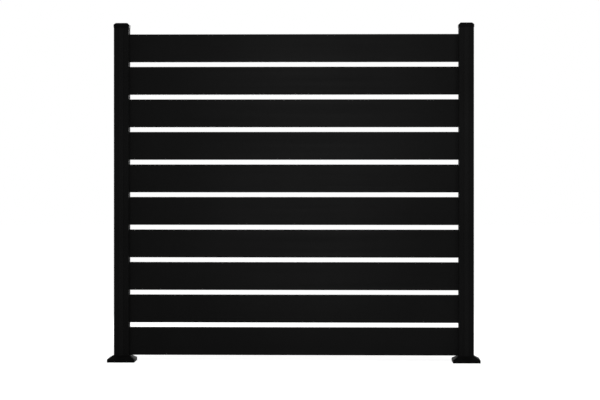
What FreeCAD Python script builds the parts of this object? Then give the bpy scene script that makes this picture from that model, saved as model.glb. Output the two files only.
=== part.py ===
import FreeCAD, Part
import math
import os

from FreeCAD import Vector

# Garden privacy screen: ten horizontal hollow slats held one above the other between two
# slotted square posts, which stand on screwed-on base plates under square covers.
# Millimetres. The origin is on the ground at the centre of the footprint, +X runs along the
# screen to the right, +Y points to its back and +Z is up. Front and back are alike.

# Panel
CLEAR_WIDTH = 1770.0          # between the inner faces of the two posts
SLAT_COUNT = 10
SLAT_HEIGHT = 150.0
SLAT_THICKNESS = 20.0
SLAT_GAP = 25.0               # between one slat and the next
SLAT_WALL = 1.5
SLAT_WEB = 1.2
SLAT_CHAMBERS = 3
SLAT_EDGE_RADIUS = 1.2
SLAT_INSERT = 15.0            # length of each slat end that sits in the post
SLAT_END_CLEARANCE = 3.0      # left for growth between the slat end and the slot floor

# Posts
POST_SIZE = 80.0
POST_WALL = 2.2
POST_CORNER_RADIUS = 3.0
POST_ABOVE_PANEL = 47.0       # from the top slat to the cut end of the post
SLOT_MOUTH_CHAMFER = 0.7
SNAP_START = 5.8              # depth of the snap groove below the post face
SNAP_WIDTH = 2.6
SNAP_DEPTH = 0.8
PORT_WALL = 2.4               # around the screw ports in the four corners of the profile
PORT_SINK = 0.5               # how far a port grows into the two walls beside it

# Gaskets that line both walls of the slot that holds the slats
GASKET_THICKNESS = 3.0
GASKET_SETBACK = 1.0          # gasket ends short of the slat end
GASKET_BODY = 2.3             # thickness between the sealing ribs
GASKET_RIBS = 3
GASKET_RIB_WIDTH = 2.4

# Strips that close the three slots without slats
STRIP_CLEARANCE = 0.3
STRIP_FACE = 2.0
STRIP_LEG = 1.2
STRIP_DEPTH = 10.0
STRIP_EDGE_CHAMFER = 0.5
SNAP_CLEARANCE = 0.2

# Spacers in the slot: under the lowest slat, between slats and above the top one
FOOT_SPACER_HEIGHT = 27.0
SPACER_WALL = 2.2
SPACER_SETBACK = 0.5          # from the post face
SPACER_CHAMFER = 1.0

# Caps
CAP_FIT = 0.1
CAP_WALL = 1.5
CAP_SKIRT = 11.0              # how far the cap reaches down over the post
CAP_ROOF = 13.0               # from the post end to the top of the cap
CAP_BEVEL_HEIGHT = 10.0
CAP_BEVEL_RUN = 11.0
CAP_TOP_THICKNESS = 3.0
CAP_SEAT_WIDTH = 10.0         # ring that bears on the end of the post
SPIGOT_CLEARANCE = 0.3
SPIGOT_WALL = 2.5
SPIGOT_LENGTH = 28.0
SPIGOT_TAPER = 0.8
SPIGOT_TAPER_HEIGHT = 3.0
RIB_COUNT = 3                 # crush ribs on each face of the spigot
RIB_WIDTH = 2.0

# Base plates and their screws
PLATE_THICKNESS = 8.0
PLATE_MARGIN = 25.0           # plate beyond each post face
PLATE_CORNER_RADIUS = 8.0
ANCHOR_OFFSET = 12.0          # anchor hole centre beyond each post face
ANCHOR_HOLE_RADIUS = 5.5
SCREW_SHANK_RADIUS = 2.5
SCREW_HEAD_FLATS = 8.0
SCREW_HEAD_HEIGHT = 3.5
SCREW_REACH = 36.0            # length of the screw inside the post
SCREW_HEAD_RECESS = 0.3       # head below the underside of the plate
SCREW_WRENCH_CLEARANCE = 1.5  # around the corners of the head in its counterbore
SCREW_HOLE_CLEARANCE = 0.4    # in the plate
SCREW_THREAD_CLEARANCE = 0.1  # in the screw port

# Base covers
COVER_WALL = 2.5
COVER_PLATE_CLEARANCE = 6.0
COVER_BAND = 16.0             # upright edge around the foot of the cover
COVER_SLAT_CLEARANCE = 0.5    # between the top of the cover and the lowest slat
COVER_POST_CLEARANCE = 0.3
COVER_LIP = 1.4               # flat rim around the post
COVER_CORNER_RADIUS = 4.0

ORIGIN = Vector(0, 0, 0)
X_AXIS = Vector(1, 0, 0)
Z_AXIS = Vector(0, 0, 1)

# Places that follow from the sizes above
POST_HALF = POST_SIZE / 2
POST_OFFSET = CLEAR_WIDTH / 2 + POST_HALF
SLOT_HALF = SLAT_THICKNESS / 2 + GASKET_THICKNESS
SLOT_DEPTH = SLAT_INSERT + SLAT_END_CLEARANCE
SNAP_END = SNAP_START + SNAP_WIDTH
GASKET_DEPTH = SLAT_INSERT - GASKET_SETBACK
PORT_BORE_RADIUS = SCREW_SHANK_RADIUS + SCREW_THREAD_CLEARANCE
PORT_HALF = PORT_BORE_RADIUS + PORT_WALL
PORT_OFFSET = POST_HALF - POST_WALL - PORT_HALF + PORT_SINK
CORE_HALF = POST_HALF - SLOT_DEPTH - POST_WALL
PLATE_HALF = POST_HALF + PLATE_MARGIN
ANCHOR_POSITION = POST_HALF + ANCHOR_OFFSET
COVER_HALF = PLATE_HALF + COVER_PLATE_CLEARANCE + COVER_WALL
SLAT_PITCH = SLAT_HEIGHT + SLAT_GAP
PANEL_BOTTOM = PLATE_THICKNESS + FOOT_SPACER_HEIGHT
PANEL_TOP = PANEL_BOTTOM + SLAT_COUNT * SLAT_PITCH - SLAT_GAP
COVER_HEIGHT = PANEL_BOTTOM - COVER_SLAT_CLEARANCE
POST_BOTTOM = PLATE_THICKNESS
SCREW_SEAT = SCREW_HEAD_RECESS + SCREW_HEAD_HEIGHT
SCREW_HEAD_RADIUS = SCREW_HEAD_FLATS / math.sqrt(3)
POST_TOP = PANEL_TOP + POST_ABOVE_PANEL
OVERALL_HEIGHT = POST_TOP + CAP_ROOF
OVERALL_WIDTH = 2 * (POST_OFFSET + COVER_HALF)

# Quarter turns that carry a slot from the front face of a post to its other faces
FRONT_TURN = 0
PANEL_TURN = 90
BACK_TURN = 180
OUTER_TURN = -90


def rounded_face(corners):
    """Flat face in the XY plane from corners (x, y, radius), with tangent arcs at the corners."""
    count = len(corners)
    points = [Vector(x, y, 0) for x, y, radius in corners]
    arcs = {}
    ends = []
    for i, (x, y, radius) in enumerate(corners):
        here = points[i]
        if radius <= 0:
            ends.append((here, here))
            continue
        back = (points[i - 1] - here).normalize()
        ahead = (points[(i + 1) % count] - here).normalize()
        half_angle = back.getAngle(ahead) / 2
        reach = radius / math.tan(half_angle)
        start = here + back * reach
        end = here + ahead * reach
        inward = (back + ahead).normalize()
        middle = here + inward * (radius / math.sin(half_angle) - radius)
        arcs[i] = Part.Arc(start, middle, end).toShape()
        ends.append((start, end))
    path = []
    for i in range(count):
        if i in arcs:
            path.append(arcs[i])
        path.append(Part.makeLine(ends[i][1], ends[(i + 1) % count][0]))
    return Part.Face(Part.Wire(path))


def prism(corners, low, high):
    """Upright prism over a rounded outline, from one height to another."""
    solid = rounded_face(corners).extrude(Vector(0, 0, high - low))
    solid.translate(Vector(0, 0, low))
    return solid


def square(half, radius=0.0):
    """Corners of a square centred on the axis."""
    return [(-half, -half, radius), (half, -half, radius), (half, half, radius), (-half, half, radius)]


def rectangle(x_low, x_high, y_low, y_high, radius=0.0):
    """Corners of a rectangle."""
    points = [(x_low, y_low), (x_high, y_low), (x_high, y_high), (x_low, y_high)]
    return [(x, y, radius) for x, y in points]


def frustum(low_half, low, high_half, high):
    """Square frustum with flat sloping sides, between two heights."""
    solid = Part.makeWedge(-low_half, low, -low_half, -high_half, -high_half,
                           low_half, high, low_half, high_half, high_half)
    solid.rotate(ORIGIN, X_AXIS, 90)
    return solid


def hipped(half, radius, foot, eaves, top_half, top):
    """Square block with rounded upright edges, whose sides slope inwards from the eaves to its top."""
    body = prism(square(half), foot, eaves).fuse(frustum(half, eaves, top_half, top))
    return prism(square(half, radius), foot, top).common(body)


def turned(shape, degrees):
    """Copy of a shape turned about the post axis."""
    copy = shape.copy()
    copy.rotate(ORIGIN, Z_AXIS, degrees)
    return copy


def corner_points(offset):
    """The four points at one distance from both centre planes."""
    return [(x, y) for x in (-offset, offset) for y in (-offset, offset)]


def quarter_turns(corners):
    """Repeats the outline of one side of a post on its four sides."""
    outline = []
    for quarter in range(4):
        angle = math.radians(90 * quarter)
        c, s = round(math.cos(angle)), round(math.sin(angle))
        outline += [(c * x - s * y, s * x + c * y, radius) for x, y, radius in corners]
    return outline


def post_profile_side():
    """Front side of the profile: one corner of the post, then its slot with two snap grooves."""
    wall = [
        (SLOT_HALF + SLOT_MOUTH_CHAMFER, 0.0),
        (SLOT_HALF, SLOT_MOUTH_CHAMFER),
        (SLOT_HALF, SNAP_START),
        (SLOT_HALF + SNAP_DEPTH, SNAP_START + SNAP_DEPTH / 2),
        (SLOT_HALF + SNAP_DEPTH, SNAP_END - SNAP_DEPTH / 2),
        (SLOT_HALF, SNAP_END),
        (SLOT_HALF, SLOT_DEPTH),
    ]
    inward = [(-across, depth - POST_HALF, 0.0) for across, depth in wall]
    outward = [(across, depth - POST_HALF, 0.0) for across, depth in reversed(wall)]
    return [(-POST_HALF, -POST_HALF, POST_CORNER_RADIUS)] + inward + outward


def post_chamber_side():
    """The same side of the hollow inside the profile, one wall thickness away."""
    face = POST_HALF - POST_WALL
    slot = SLOT_HALF + POST_WALL
    return [(-face, -face, 0.0), (-slot, -face, 0.0), (-slot, -CORE_HALF, 0.0), (slot, -CORE_HALF, 0.0),
            (slot, -face, 0.0)]


def make_post():
    """Hollow square extrusion with a slot in each side and a screw port in each corner."""
    post = prism(quarter_turns(post_profile_side()), POST_BOTTOM, POST_TOP)
    post = post.cut(prism(quarter_turns(post_chamber_side()), POST_BOTTOM, POST_TOP))
    for x, y in corner_points(PORT_OFFSET):
        port = rectangle(x - PORT_HALF, x + PORT_HALF, y - PORT_HALF, y + PORT_HALF)
        bore = Part.makeCylinder(PORT_BORE_RADIUS, POST_TOP - POST_BOTTOM, Vector(x, y, POST_BOTTOM))
        post = post.fuse(prism(port, POST_BOTTOM, POST_TOP)).cut(bore)
    return post.removeSplitter()


def make_strip():
    """Snap-in strip for the front slot: a flush face with two hooked legs."""
    edge = SLOT_HALF - STRIP_CLEARANCE
    hook = SLOT_HALF + SNAP_DEPTH - SNAP_CLEARANCE
    half = [
        (edge - STRIP_EDGE_CHAMFER, 0.0),
        (edge, STRIP_EDGE_CHAMFER),
        (edge, SNAP_START + SNAP_CLEARANCE),
        (hook, SNAP_START + SNAP_CLEARANCE + SNAP_DEPTH / 2),
        (hook, SNAP_END - SNAP_CLEARANCE - SNAP_DEPTH / 2),
        (edge, SNAP_END - SNAP_CLEARANCE),
        (edge, STRIP_DEPTH),
        (edge - STRIP_LEG, STRIP_DEPTH),
        (edge - STRIP_LEG, STRIP_FACE),
    ]
    right = [(across, depth - POST_HALF, 0.0) for across, depth in half]
    left = [(-across, depth - POST_HALF, 0.0) for across, depth in reversed(half)]
    return prism(right + left, POST_BOTTOM, POST_TOP)


def make_gasket():
    """Rubber lining of the front half of the panel slot, drawn on the front side of the post."""
    seal = SLOT_HALF - GASKET_THICKNESS
    valley = SLOT_HALF - GASKET_BODY
    hook = SLOT_HALF + SNAP_DEPTH - SNAP_CLEARANCE
    outline = [
        (SLOT_HALF, SLOT_MOUTH_CHAMFER),
        (SLOT_HALF, SNAP_START + SNAP_CLEARANCE),
        (hook, SNAP_START + SNAP_CLEARANCE + SNAP_DEPTH / 2),
        (hook, SNAP_END - SNAP_CLEARANCE - SNAP_DEPTH / 2),
        (SLOT_HALF, SNAP_END - SNAP_CLEARANCE),
        (SLOT_HALF, GASKET_DEPTH),
    ]
    pitch = (GASKET_DEPTH - GASKET_RIB_WIDTH - SLOT_MOUTH_CHAMFER) / (GASKET_RIBS - 1)
    for rib in reversed(range(GASKET_RIBS)):
        start = SLOT_MOUTH_CHAMFER + rib * pitch
        crest = start + GASKET_RIB_WIDTH / 2
        outline += [(valley, start + GASKET_RIB_WIDTH), (seal, crest), (valley, start)]
    corners = [(-across, depth - POST_HALF, 0.0) for across, depth in outline]
    return prism(corners, POST_BOTTOM, POST_TOP)


def make_spacer(low, high):
    """Hollow block in the panel slot, as thick as a slat, from one height to another."""
    x_low = POST_HALF - SLAT_INSERT
    x_high = POST_HALF - SPACER_SETBACK
    half = SLAT_THICKNESS / 2
    eased = half - SPACER_CHAMFER
    outline = [
        (x_low, -half, 0.0),
        (x_high - SPACER_CHAMFER, -half, 0.0),
        (x_high, -eased, 0.0),
        (x_high, eased, 0.0),
        (x_high - SPACER_CHAMFER, half, 0.0),
        (x_low, half, 0.0),
    ]
    inside = half - SPACER_WALL
    hollow = rectangle(x_low + SPACER_WALL, x_high - SPACER_WALL, -inside, inside)
    return prism(outline, low, high).cut(prism(hollow, low, high))


def make_slat(low):
    """Hollow slat with inner webs, lying along X with its lower edge at the given height."""
    half = SLAT_THICKNESS / 2
    length = CLEAR_WIDTH + 2 * SLAT_INSERT
    slat = prism(rectangle(-half, half, 0, SLAT_HEIGHT, SLAT_EDGE_RADIUS), 0, length)
    inside = SLAT_HEIGHT - 2 * SLAT_WALL - (SLAT_CHAMBERS - 1) * SLAT_WEB
    chamber = inside / SLAT_CHAMBERS
    for i in range(SLAT_CHAMBERS):
        start = SLAT_WALL + i * (chamber + SLAT_WEB)
        hollow = rectangle(SLAT_WALL - half, half - SLAT_WALL, start, start + chamber)
        slat = slat.cut(prism(hollow, 0, length))
    slat.rotate(ORIGIN, Vector(1, 1, 1), 120)
    slat.translate(Vector(-length / 2, 0, low))
    return slat


def make_cap():
    """Square cap: skirt and bevelled roof, with a hollow ribbed spigot in the core of the post."""
    skirt = POST_TOP - CAP_SKIRT
    roof = OVERALL_HEIGHT - CAP_TOP_THICKNESS
    outer = POST_HALF + CAP_FIT + CAP_WALL
    radius = POST_CORNER_RADIUS + CAP_FIT + CAP_WALL
    eaves = OVERALL_HEIGHT - CAP_BEVEL_HEIGHT
    cap = hipped(outer, radius, skirt, eaves, outer - CAP_BEVEL_RUN, OVERALL_HEIGHT)
    cap = cap.cut(prism(square(POST_HALF + CAP_FIT, POST_CORNER_RADIUS), skirt, POST_TOP))
    cap = cap.cut(prism(square(POST_HALF - CAP_SEAT_WIDTH), POST_TOP, roof))
    tip = POST_TOP - SPIGOT_LENGTH
    shoulder = tip + SPIGOT_TAPER_HEIGHT
    half = CORE_HALF - SPIGOT_CLEARANCE
    spigot = frustum(half - SPIGOT_TAPER, tip, half, shoulder).fuse(prism(square(half), shoulder, roof))
    rib_pitch = 2 * SLOT_HALF / (RIB_COUNT + 1)
    for rib in range(RIB_COUNT):
        across = (rib + 1) * rib_pitch - SLOT_HALF
        outline = rectangle(across - RIB_WIDTH / 2, across + RIB_WIDTH / 2, -CORE_HALF, -half)
        crush = prism(outline, shoulder, POST_TOP)
        for turn in (FRONT_TURN, PANEL_TURN, BACK_TURN, OUTER_TURN):
            spigot = spigot.fuse(turned(crush, turn))
    spigot = spigot.cut(prism(square(half - SPIGOT_WALL), tip, roof))
    return cap.fuse(spigot).removeSplitter()


def make_base_plate():
    """Square foot plate with four anchor holes and four counterbored holes for the post screws."""
    plate = prism(square(PLATE_HALF, PLATE_CORNER_RADIUS), 0, PLATE_THICKNESS)
    for x, y in corner_points(ANCHOR_POSITION):
        plate = plate.cut(Part.makeCylinder(ANCHOR_HOLE_RADIUS, PLATE_THICKNESS, Vector(x, y, 0)))
    hole = SCREW_SHANK_RADIUS + SCREW_HOLE_CLEARANCE
    counterbore = SCREW_HEAD_RADIUS + SCREW_WRENCH_CLEARANCE
    for x, y in corner_points(PORT_OFFSET):
        plate = plate.cut(Part.makeCylinder(hole, PLATE_THICKNESS, Vector(x, y, 0)))
        plate = plate.cut(Part.makeCylinder(counterbore, SCREW_SEAT, Vector(x, y, 0)))
    return plate


def make_post_screws():
    """Four hexagon-headed screws that pull the plate against the end of the post."""
    hexagon = []
    for corner in range(6):
        angle = math.radians(60 * corner)
        hexagon.append((SCREW_HEAD_RADIUS * math.cos(angle), SCREW_HEAD_RADIUS * math.sin(angle), 0.0))
    head = prism(hexagon, SCREW_HEAD_RECESS, SCREW_SEAT)
    shank_length = POST_BOTTOM + SCREW_REACH - SCREW_SEAT
    screws = []
    for x, y in corner_points(PORT_OFFSET):
        shank = Part.makeCylinder(SCREW_SHANK_RADIUS, shank_length, Vector(0, 0, SCREW_SEAT))
        screw = head.fuse(shank)
        screw.translate(Vector(x, y, 0))
        screws.append(screw)
    return Part.makeCompound(screws)


def make_base_cover():
    """Moulded skirt over the plate: upright band and a shoulder that slopes up to the post."""
    rim = POST_HALF + COVER_POST_CLEARANCE
    rim_radius = POST_CORNER_RADIUS + COVER_POST_CLEARANCE
    slope = (COVER_HEIGHT - COVER_BAND) / (COVER_HALF - rim - COVER_LIP)
    cover = hipped(COVER_HALF, COVER_CORNER_RADIUS, 0, COVER_BAND, rim + COVER_LIP, COVER_HEIGHT)
    inner = COVER_HALF - COVER_WALL
    eaves = COVER_BAND + COVER_WALL * (slope - math.hypot(slope, 1))
    cover = cover.cut(prism(square(inner), 0, eaves))
    cover = cover.cut(frustum(inner, eaves, rim, eaves + slope * (inner - rim)))
    return cover.cut(prism(square(rim, rim_radius), 0, COVER_HEIGHT)).removeSplitter()


def spacer_heights():
    """Name and height range of every spacer in one panel slot, from the ground up."""
    ranges = [("foot_spacer", PLATE_THICKNESS, PANEL_BOTTOM)]
    for i in range(1, SLAT_COUNT):
        top = PANEL_BOTTOM + i * SLAT_PITCH
        ranges.append((f"spacer_{i:02d}", top - SLAT_GAP, top))
    ranges.append(("top_filler", PANEL_TOP, POST_TOP))
    return ranges


def post_pieces():
    """Every piece of one post and its foot, about the post axis, with the panel towards +X."""
    strip = make_strip()
    gasket = turned(make_gasket(), PANEL_TURN)
    pieces = {
        "post": make_post(),
        "post_cap": make_cap(),
        "base_cover": make_base_cover(),
        "base_plate": make_base_plate(),
        "post_screws": make_post_screws(),
        "slot_strip_front": turned(strip, FRONT_TURN),
        "slot_strip_back": turned(strip, BACK_TURN),
        "slot_strip_outer": turned(strip, OUTER_TURN),
        "gasket_front": gasket,
        "gasket_back": gasket.mirror(ORIGIN, Vector(0, 1, 0)),
    }
    for name, low, high in spacer_heights():
        pieces[name] = make_spacer(low, high)
    return pieces


def assembly():
    """All nodes of the screen in place, by name."""
    nodes = {}
    for i in range(SLAT_COUNT):
        nodes[f"slat_{i + 1:02d}"] = make_slat(PANEL_BOTTOM + i * SLAT_PITCH)
    for name, shape in post_pieces().items():
        left = shape.copy()
        left.translate(Vector(-POST_OFFSET, 0, 0))
        nodes["left_" + name] = left
        nodes["right_" + name] = left.mirror(ORIGIN, X_AXIS)
    return nodes


os.makedirs("parts", exist_ok=True)
for node, shape in assembly().items():
    shape.exportStep(f"parts/{node}.step")
    print(f"{node}: {len(shape.Solids)} solid(s), {shape.Volume / 1000:.1f} cm3")
print(f"overall {OVERALL_WIDTH:.0f} x {2 * COVER_HALF:.0f} x {OVERALL_HEIGHT:.0f} mm")
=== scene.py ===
import math

import bpy
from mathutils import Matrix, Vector

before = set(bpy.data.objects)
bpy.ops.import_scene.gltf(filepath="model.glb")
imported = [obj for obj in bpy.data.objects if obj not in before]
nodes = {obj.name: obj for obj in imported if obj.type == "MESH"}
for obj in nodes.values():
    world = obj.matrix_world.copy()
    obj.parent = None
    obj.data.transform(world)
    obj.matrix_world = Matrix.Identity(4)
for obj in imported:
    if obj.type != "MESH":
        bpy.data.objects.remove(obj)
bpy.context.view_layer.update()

# Camera: a long lens ten metres in front of the panel, a little above its middle. Its place is in metres,
# its angles are in radians and its sensor is in millimetres.
IMAGE_WIDTH = 600
SENSOR_WIDTH = 36.0
FOCAL_PIXELS = 1860.5
SHIFT_PIXELS = -40
CAMERA_PLACE = (0.267, -10.0, 1.10)
CAMERA_YAW = 0.0233
CAMERA_PITCH = 0.0016
CLIP_END = 200.0

# Softboxes in front, at the right, behind and above. Metres and watts.
SOFTBOXES = [
    dict(name="front_softbox", place=(0.06, -2.4, 1.35), aim=(0.06, 0.0, 1.30), size=(1.1, 2.4), power=34),
    dict(name="right_softbox", place=(2.0, -1.6, 2.0), aim=(0.9, 0.0, 1.4), size=(0.6, 1.2), power=15),
    dict(name="back_softbox", place=(-0.5, 2.8, 1.6), aim=(0.0, 0.0, 1.1), size=(1.4, 1.6), power=26),
    dict(name="top_softbox", place=(0.4, -1.2, 4.2), aim=(0.0, 0.0, 0.6), size=(3.0, 3.0), power=24),
]

# Room: its strength where it is seen, which is white, and where it lights the object.
WHITE = (1.0, 1.0, 1.0, 1)
SEEN_LEVEL = 1.0
ROOM_LEVEL = 0.46

# Floor: just under the feet, and lifted towards white where it is seen.
FLOOR_SIZE = 40.0
FLOOR_DROP = 0.0005
FLOOR_COLOUR = (0.80, 0.80, 0.80, 1)
FLOOR_LIFT = 0.64

# Axes that an extrusion may run along.
ALONG_X = 0
ALONG_Z = 2

# Ranges: most values of a noise lie in the first, and a share goes over the whole of the second.
NOISE_RANGE = (0.3, 0.7)
FULL_RANGE = (0.0, 1.0)


class Tree:
    """The nodes of a material or a world, built one after another."""

    def __init__(self, owner):
        owner.use_nodes = True
        self.tree = owner.node_tree
        self.tree.nodes.clear()

    def put(self, value, socket):
        """Joins another node's output to the socket, or writes a plain value into it."""
        if isinstance(value, bpy.types.NodeSocket):
            self.tree.links.new(value, socket)
        else:
            socket.default_value = value

    def add(self, kind, inputs=None, **settings):
        """A new node with these settings, and with its inputs filled by name or number."""
        node = self.tree.nodes.new(kind)
        for name, value in settings.items():
            setattr(node, name, value)
        for name, value in (inputs or {}).items():
            self.put(value, node.inputs[name])
        return node

    def seen(self):
        """1 for rays from the camera, a gloss or a glass, otherwise 0."""
        path = self.add("ShaderNodeLightPath")
        total = path.outputs["Is Camera Ray"]
        for name in ("Is Glossy Ray", "Is Transmission Ray"):
            both = self.add("ShaderNodeMath", {0: total, 1: path.outputs[name]}, operation="MAXIMUM")
            total = both.outputs[0]
        return total


class Finish(Tree):
    """A surface of the object. Scales are patterns per metre and reliefs are metres."""

    def __init__(self, name):
        self.material = bpy.data.materials.new(name)
        super().__init__(self.material)
        self.place = self.add("ShaderNodeTexCoord").outputs["Object"]

    def noise(self, scale, detail, place=None):
        """Soft random spots."""
        inputs = {"Scale": scale, "Detail": detail, "Vector": place or self.place}
        return self.add("ShaderNodeTexNoise", inputs).outputs["Fac"]

    def streaks(self, scales, detail):
        """Random spots drawn out into lines, by a scale for each axis."""
        stretched = self.add("ShaderNodeMapping", {"Vector": self.place, "Scale": scales})
        return self.noise(scale=1.0, detail=detail, place=stretched.outputs["Vector"])

    def spread(self, value, result, within=NOISE_RANGE):
        """Turns values within one range into the range of the result."""
        start, end = within
        low, high = result
        inputs = {"Value": value, "From Min": start, "From Max": end, "To Min": low, "To Max": high}
        return self.add("ShaderNodeMapRange", inputs).outputs["Result"]

    def blend(self, factor, first, second):
        """One colour where the factor is 0, the other where it is 1."""
        node = self.add("ShaderNodeMix", {"Factor": factor}, data_type="RGBA")
        sockets = [socket for socket in node.inputs if socket.type == "RGBA"]
        for socket, colour in zip(sockets, (first, second)):
            self.put(colour, socket)
        return next(socket for socket in node.outputs if socket.type == "RGBA")

    def mottled(self, value, dark, pale):
        """A colour that goes from dark to pale with a noise."""
        return self.blend(self.spread(value, FULL_RANGE), dark, pale)

    def bump(self, height, relief, below=None):
        """Raises the surface by a noise, on top of the bumps below it."""
        node = self.add("ShaderNodeBump", {"Height": height, "Distance": relief})
        if below:
            self.put(below, node.inputs["Normal"])
        return node.outputs["Normal"]

    def surface(self, colour, roughness, normal, constants):
        """The material, from three inputs that vary and the constant ones by name."""
        inputs = {"Base Color": colour, "Roughness": roughness, "Normal": normal, **constants}
        shader = self.add("ShaderNodeBsdfPrincipled", inputs)
        self.add("ShaderNodeOutputMaterial", {"Surface": shader.outputs["BSDF"]})
        return self.material


COAT_DARK = (0.0015, 0.0015, 0.0015, 1)
COAT_PALE = (0.0025, 0.0025, 0.0025, 1)
COAT_SPECK = (0.0080, 0.0080, 0.0080, 1)
COAT_SHINE = 0.028
STRIP_SHINE = 0.036
SLAT_ROUGH = (0.36, 0.46)
POST_ROUGH = (0.60, 0.68)
DRAWN_ACROSS_SCALE = 60.0
DRAWN_ALONG_SCALE = 0.8
DRAWN_RELIEF = 0.00003
CLOUD_SCALE = 2.2
PEEL_SCALE = 260.0
PEEL_RELIEF = 0.00005
COAT_GRAIN_SCALE = 900.0
COAT_GRAIN_RELIEF = 0.00006
SPECK_RANGE = (0.52, 0.72)
SPECK_SHARE = (0.0, 0.6)


def powder_coat(name, along, rough, shine=COAT_SHINE):
    """Satin black powder coat, with pale specks, on an extrusion that runs along one axis."""
    finish = Finish(name)
    scales = [DRAWN_ACROSS_SCALE] * 3
    scales[along] = DRAWN_ALONG_SCALE
    drawn = finish.streaks(scales, detail=4.0)
    cloud = finish.noise(CLOUD_SCALE, detail=2.0)
    peel = finish.noise(PEEL_SCALE, detail=1.0)
    grain = finish.noise(COAT_GRAIN_SCALE, detail=2.0)
    tone = finish.mottled(cloud, COAT_DARK, COAT_PALE)
    speckled = finish.blend(finish.spread(grain, SPECK_SHARE, SPECK_RANGE), tone, COAT_SPECK)
    roughness = finish.spread(drawn, rough)
    normal = finish.bump(drawn, DRAWN_RELIEF)
    normal = finish.bump(peel, PEEL_RELIEF, below=normal)
    normal = finish.bump(grain, COAT_GRAIN_RELIEF, below=normal)
    return finish.surface(speckled, roughness, normal, {"Specular IOR Level": shine})


PLASTIC_DARK = (0.0020, 0.0020, 0.0020, 1)
PLASTIC_PALE = (0.0032, 0.0032, 0.0032, 1)
PLASTIC_SHINE = 0.01
CAP_ROUGH = (0.38, 0.50)
COVER_ROUGH = (0.42, 0.55)
SPACER_ROUGH = (0.50, 0.62)
FLOW_SCALE = 14.0
MOULD_GRAIN_SCALE = 1300.0
MOULD_GRAIN_RELIEF = 0.00006


def moulded_plastic(name, rough):
    """Black moulded plastic with the fine even texture of an eroded mould."""
    finish = Finish(name)
    flow = finish.noise(FLOW_SCALE, detail=3.0)
    grain = finish.noise(MOULD_GRAIN_SCALE, detail=2.0)
    tone = finish.mottled(flow, PLASTIC_DARK, PLASTIC_PALE)
    roughness = finish.spread(flow, rough)
    normal = finish.bump(grain, MOULD_GRAIN_RELIEF)
    return finish.surface(tone, roughness, normal, {"Specular IOR Level": PLASTIC_SHINE})


RUBBER_DARK = (0.0040, 0.0040, 0.0040, 1)
RUBBER_PALE = (0.0085, 0.0085, 0.0083, 1)
RUBBER_SHINE = 0.12
RUBBER_ROUGH = (0.70, 0.85)
DUST_SCALE = 45.0
RUBBER_LINE_SCALES = (700.0, 700.0, 3.0)
RUBBER_LINE_RELIEF = 0.00006


def rubber(name):
    """Matt black gasket rubber, with faint lines along its length."""
    finish = Finish(name)
    dust = finish.noise(DUST_SCALE, detail=4.0)
    lines = finish.streaks(RUBBER_LINE_SCALES, detail=3.0)
    tone = finish.mottled(dust, RUBBER_DARK, RUBBER_PALE)
    roughness = finish.spread(dust, RUBBER_ROUGH)
    normal = finish.bump(lines, RUBBER_LINE_RELIEF)
    return finish.surface(tone, roughness, normal, {"Specular IOR Level": RUBBER_SHINE})


ZINC_DARK = (0.42, 0.43, 0.44, 1)
ZINC_PALE = (0.60, 0.61, 0.62, 1)
ZINC_STAIN = (0.30, 0.30, 0.31, 1)
ZINC_METAL = 0.9
ZINC_ROUGH = (0.32, 0.52)
ZINC_CELL_SCALE = 130.0
STAIN_SCALE = 25.0
STAIN_RANGE = (0.55, 0.75)
STAIN_SHARE = (0.0, 0.5)
SCRATCH_SCALES = (400.0, 12.0, 400.0)
SCRATCH_RELIEF = 0.00003


def galvanised(name):
    """Zinc-coated steel: cells of zinc several millimetres across, each with its own shade and shine."""
    finish = Finish(name)
    cells = finish.add("ShaderNodeTexVoronoi", {"Scale": ZINC_CELL_SCALE, "Vector": finish.place})
    cell = finish.add("ShaderNodeSeparateColor", {"Color": cells.outputs["Color"]})
    stain = finish.noise(STAIN_SCALE, detail=4.0)
    scratch = finish.streaks(SCRATCH_SCALES, detail=3.0)
    zinc = finish.blend(cell.outputs["Red"], ZINC_DARK, ZINC_PALE)
    worn = finish.blend(finish.spread(stain, STAIN_SHARE, STAIN_RANGE), zinc, ZINC_STAIN)
    roughness = finish.spread(cell.outputs["Green"], ZINC_ROUGH, FULL_RANGE)
    normal = finish.bump(scratch, SCRATCH_RELIEF)
    return finish.surface(worn, roughness, normal, {"Metallic": ZINC_METAL})


STEEL_DARK = (0.48, 0.47, 0.45, 1)
STEEL_PALE = (0.62, 0.61, 0.59, 1)
STEEL_METAL = 1.0
STEEL_ROUGH = (0.25, 0.40)
SMUDGE_SCALE = 60.0
TURNED_SCALES = (90.0, 90.0, 1500.0)
TURNED_RELIEF = 0.00002


def stainless(name):
    """Plain screw steel with fine turning marks."""
    finish = Finish(name)
    smudge = finish.noise(SMUDGE_SCALE, detail=3.0)
    turned = finish.streaks(TURNED_SCALES, detail=2.0)
    tone = finish.mottled(smudge, STEEL_DARK, STEEL_PALE)
    roughness = finish.spread(smudge, STEEL_ROUGH)
    normal = finish.bump(turned, TURNED_RELIEF)
    return finish.surface(tone, roughness, normal, {"Metallic": STEEL_METAL})


def named(*words):
    """The nodes that have one of these words in their names."""
    return [name for name in sorted(nodes) if any(word in name for word in words)]


def clad(parts, material):
    """Gives these nodes one material, in the single slot that each of them has."""
    for part in parts:
        nodes[part].data.materials[0] = material


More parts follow.
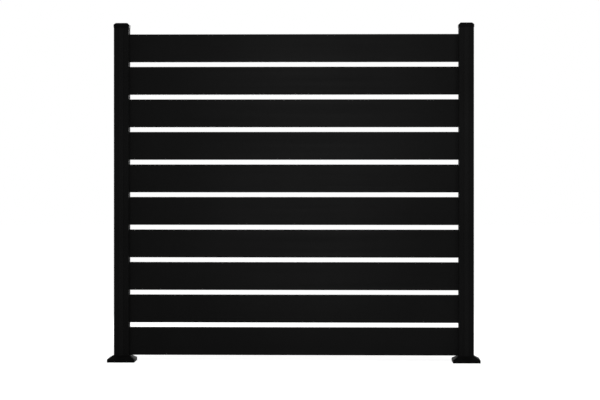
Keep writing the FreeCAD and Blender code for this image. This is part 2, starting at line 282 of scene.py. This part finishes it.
def dress():
    """A finish for every node."""
    clad(named("slat_"), powder_coat("slat_coat", ALONG_X, SLAT_ROUGH))
    clad(["left_post", "right_post"], powder_coat("post_coat", ALONG_Z, POST_ROUGH))
    clad(named("slot_strip"), powder_coat("strip_coat", ALONG_Z, POST_ROUGH, STRIP_SHINE))
    clad(named("post_cap"), moulded_plastic("cap_plastic", CAP_ROUGH))
    clad(named("base_cover"), moulded_plastic("cover_plastic", COVER_ROUGH))
    clad(named("spacer", "top_filler"), moulded_plastic("spacer_plastic", SPACER_ROUGH))
    clad(named("gasket"), rubber("gasket_rubber"))
    clad(named("base_plate"), galvanised("zinc_plate"))
    clad(named("post_screws"), stainless("screw_steel"))


def white_room():
    """A white background, which lights the object evenly and less than it shows."""
    world = bpy.data.worlds.new("white_room")
    tree = Tree(world)
    levels = {"To Min": ROOM_LEVEL, "To Max": SEEN_LEVEL}
    level = tree.add("ShaderNodeMapRange", {"Value": tree.seen(), **levels})
    back = tree.add("ShaderNodeBackground", {"Color": WHITE, "Strength": level.outputs["Result"]})
    tree.add("ShaderNodeOutputWorld", {"Surface": back.outputs[0]})
    bpy.context.scene.world = world


def floor_material():
    """A pale surface that melts into the background, keeps the shadow and is clear from below."""
    material = bpy.data.materials.new("floor_white")
    tree = Tree(material)
    diffuse = tree.add("ShaderNodeBsdfDiffuse", {"Color": FLOOR_COLOUR})
    lift = tree.add("ShaderNodeMath", {0: tree.seen(), 1: FLOOR_LIFT}, operation="MULTIPLY")
    glow = tree.add("ShaderNodeEmission", {"Strength": lift.outputs[0]})
    pale = tree.add("ShaderNodeAddShader", {0: diffuse.outputs[0], 1: glow.outputs[0]})
    clear = tree.add("ShaderNodeBsdfTransparent")
    below = tree.add("ShaderNodeNewGeometry").outputs["Backfacing"]
    sides = tree.add("ShaderNodeMixShader", {"Fac": below, 1: pale.outputs[0], 2: clear.outputs[0]})
    tree.add("ShaderNodeOutputMaterial", {"Surface": sides.outputs[0]})
    return material


def white_floor():
    """The square that the object stands on."""
    half = FLOOR_SIZE / 2
    corners = [(-half, -half), (half, -half), (half, half), (-half, half)]
    mesh = bpy.data.meshes.new("floor")
    mesh.from_pydata([(x, y, -FLOOR_DROP) for x, y in corners], [], [range(len(corners))])
    mesh.materials.append(floor_material())
    floor = bpy.data.objects.new("floor", mesh)
    bpy.context.scene.collection.objects.link(floor)


def softbox(name, place, aim, size, power):
    """A rectangular lamp that the camera doesn't see."""
    lamp = bpy.data.lights.new(name, "AREA")
    lamp.shape = "RECTANGLE"
    lamp.size, lamp.size_y = size
    lamp.energy = power
    holder = bpy.data.objects.new(name, lamp)
    holder.location = place
    holder.rotation_euler = (Vector(aim) - Vector(place)).to_track_quat("-Z", "Y").to_euler()
    holder.visible_camera = False
    bpy.context.scene.collection.objects.link(holder)


def camera():
    """The camera, nearly level and turned a little to the left."""
    lens = bpy.data.cameras.new("camera")
    lens.sensor_width = SENSOR_WIDTH
    lens.lens = FOCAL_PIXELS * SENSOR_WIDTH / IMAGE_WIDTH
    lens.shift_y = SHIFT_PIXELS / IMAGE_WIDTH
    lens.clip_end = CLIP_END
    holder = bpy.data.objects.new("camera", lens)
    holder.location = CAMERA_PLACE
    holder.rotation_euler = (math.pi / 2 - CAMERA_PITCH, 0.0, CAMERA_YAW)
    bpy.context.scene.collection.objects.link(holder)
    bpy.context.scene.camera = holder


dress()
white_room()
white_floor()
for box in SOFTBOXES:
    softbox(**box)
camera()
bpy.context.scene.view_settings.view_transform = "Standard"
